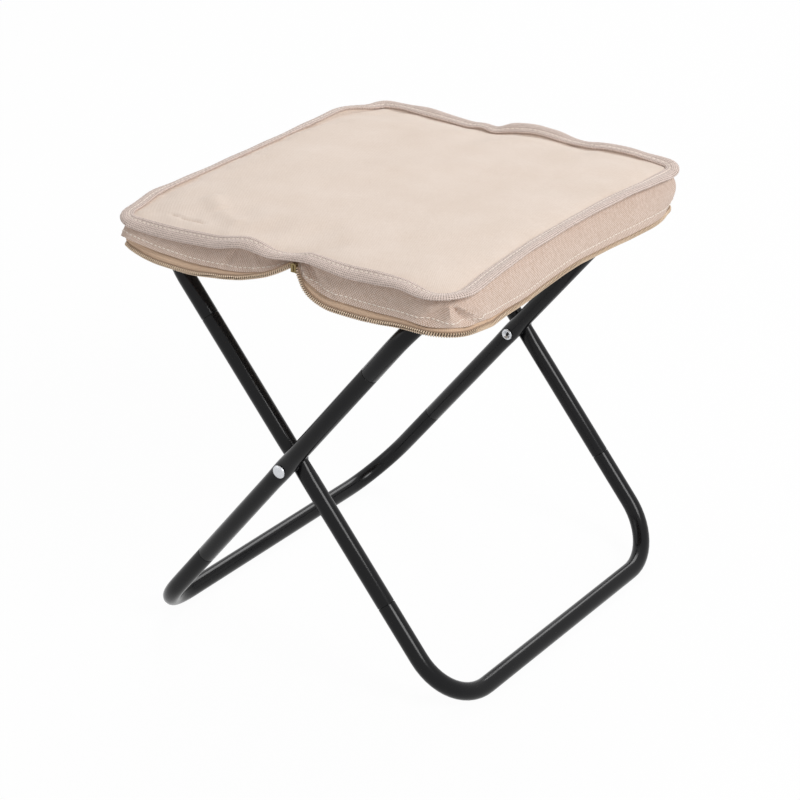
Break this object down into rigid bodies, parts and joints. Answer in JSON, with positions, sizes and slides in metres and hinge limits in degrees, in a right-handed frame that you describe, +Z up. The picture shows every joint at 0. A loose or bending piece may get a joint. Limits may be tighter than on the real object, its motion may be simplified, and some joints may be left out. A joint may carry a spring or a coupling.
{
  "type": "folding stool",
  "caption": "Crossed-leg folding stool of plug-together steel tube, with a bound cloth seat whose zip-edged skirt closes round it when it folds in half.",
  "frame": {"origin": "on the floor under the middle of the two pivot rivets", "axes": "+Z up; Y along the pivot and the bars, with the parked zip slider on the -Y side; +X towards frame A's foot"},
  "size_m": [0.36, 0.394, 0.4028],
  "materials": {
    "black_paint": "satin black powder coat",
    "zinc": "bright zinc plate",
    "dark_plastic": "matte",
    "canvas": "plain woven polyester",
    "skirt": "plain woven polyester",
    "binding": "ribbed edge tape",
    "lining": "thin woven cloth",
    "foam": "soft foam sheet",
    "zip_tape": "woven zip tape",
    "zip_coil": "nylon coil",
    "brass": "dull antique brass"
  },
  "bodies": {
    "frame_a": {"a_top_u": "black_paint", "a_leg_near": "black_paint", "a_leg_far": "black_paint", "rivet_near": "zinc", "rivet_far": "zinc", "spacer_near": "dark_plastic", "spacer_far": "dark_plastic"},
    "foot_a": {"a_bottom_u": "black_paint"},
    "frame_b": {"b_top_u": "black_paint", "b_leg_near": "black_paint", "b_leg_far": "black_paint"},
    "foot_b": {"b_bottom_u": "black_paint"},
    "seat_left": {"cover_left": "canvas", "pad_left": "foam", "lining_left": "lining", "binding_left": "binding", "wall_left_near": "skirt", "wall_left_far": "skirt", "bar_loop_left": "lining"},
    "seat_spine": {"cover_spine": "canvas", "lining_spine": "lining", "binding_spine_near": "binding", "binding_spine_far": "binding", "gusset_near": "skirt", "gusset_far": "skirt", "zip_slider": "brass"},
    "seat_right": {"cover_right": "canvas", "pad_right": "foam", "lining_right": "lining", "binding_right": "binding", "wall_right_near": "skirt", "wall_right_far": "skirt", "bar_loop_right": "lining"},
    "left_end": {"end_wall_left": "skirt", "corner_left_near": "skirt", "corner_left_far": "skirt", "zip_tape_left": "zip_tape", "zip_coil_left": "zip_coil"},
    "right_end": {"end_wall_right": "skirt", "corner_right_near": "skirt", "corner_right_far": "skirt", "zip_tape_right": "zip_tape", "zip_coil_right": "zip_coil"},
    "puller": {"zip_puller": "brass"}
  },
  "joints": [
    {"name": "fold", "type": "hinge", "parent": "frame_a", "child": "frame_b", "pos_m": [0, 0, 0.20263], "axis": [0, 1, 0], "range_deg": [-67.06, 0]},
    {"name": "left_half_turn", "type": "hinge", "parent": "frame_a", "child": "seat_left", "pos_m": [-0.1503, 0, 0.386], "axis": [0, 1, 0], "range_deg": [-123.54, 0]},
    {"name": "left_spine_bend", "type": "hinge", "parent": "seat_left", "child": "seat_spine", "pos_m": [-0.03004, 0, 0.39204], "axis": [0, 1, 0], "range_deg": [0, 90.01], "deforming": ["gusset_near", "gusset_far"]},
    {"name": "right_spine_bend", "type": "hinge", "parent": "seat_spine", "child": "seat_right", "pos_m": [0.03004, 0, 0.39204], "axis": [0, 1, 0], "range_deg": [0, 90.01], "deforming": ["bar_loop_right"]},
    {"name": "left_end_swing", "type": "hinge", "parent": "seat_left", "child": "left_end", "pos_m": [-0.1803, 0, 0.3938], "axis": [0, 1, 0], "range_deg": [0, 90.01], "deforming": ["corner_left_near", "corner_left_far", "zip_tape_left", "zip_coil_left"]},
    {"name": "right_end_swing", "type": "hinge", "parent": "seat_right", "child": "right_end", "pos_m": [0.1803, 0, 0.3938], "axis": [0, 1, 0], "range_deg": [-90.01, 0], "deforming": ["corner_right_near", "corner_right_far", "zip_tape_right", "zip_coil_right"]},
    {"name": "foot_a_unplug", "type": "slide", "parent": "frame_a", "child": "foot_a", "axis": [0.6339, 0, -0.7734], "range_m": [0, 0.036]},
    {"name": "foot_b_unplug", "type": "slide", "parent": "frame_b", "child": "foot_b", "axis": [-0.6339, 0, -0.7734], "range_m": [0, 0.036]},
    {"name": "puller_swing", "type": "hinge", "parent": "seat_spine", "child": "puller", "pos_m": [0.022, -0.189, 0.389], "axis": [1, 0, 0], "range_deg": [-85, 20]}
  ],
  "couplings": [
    {"joint": "left_half_turn", "follows": "fold", "ratio": 1.8421},
    {"joint": "left_spine_bend", "follows": "fold", "ratio": -1.3421},
    {"joint": "right_spine_bend", "follows": "fold", "ratio": -1.3421},
    {"joint": "left_end_swing", "follows": "fold", "ratio": -1.3421},
    {"joint": "right_end_swing", "follows": "fold", "ratio": 1.3421}
  ]
}
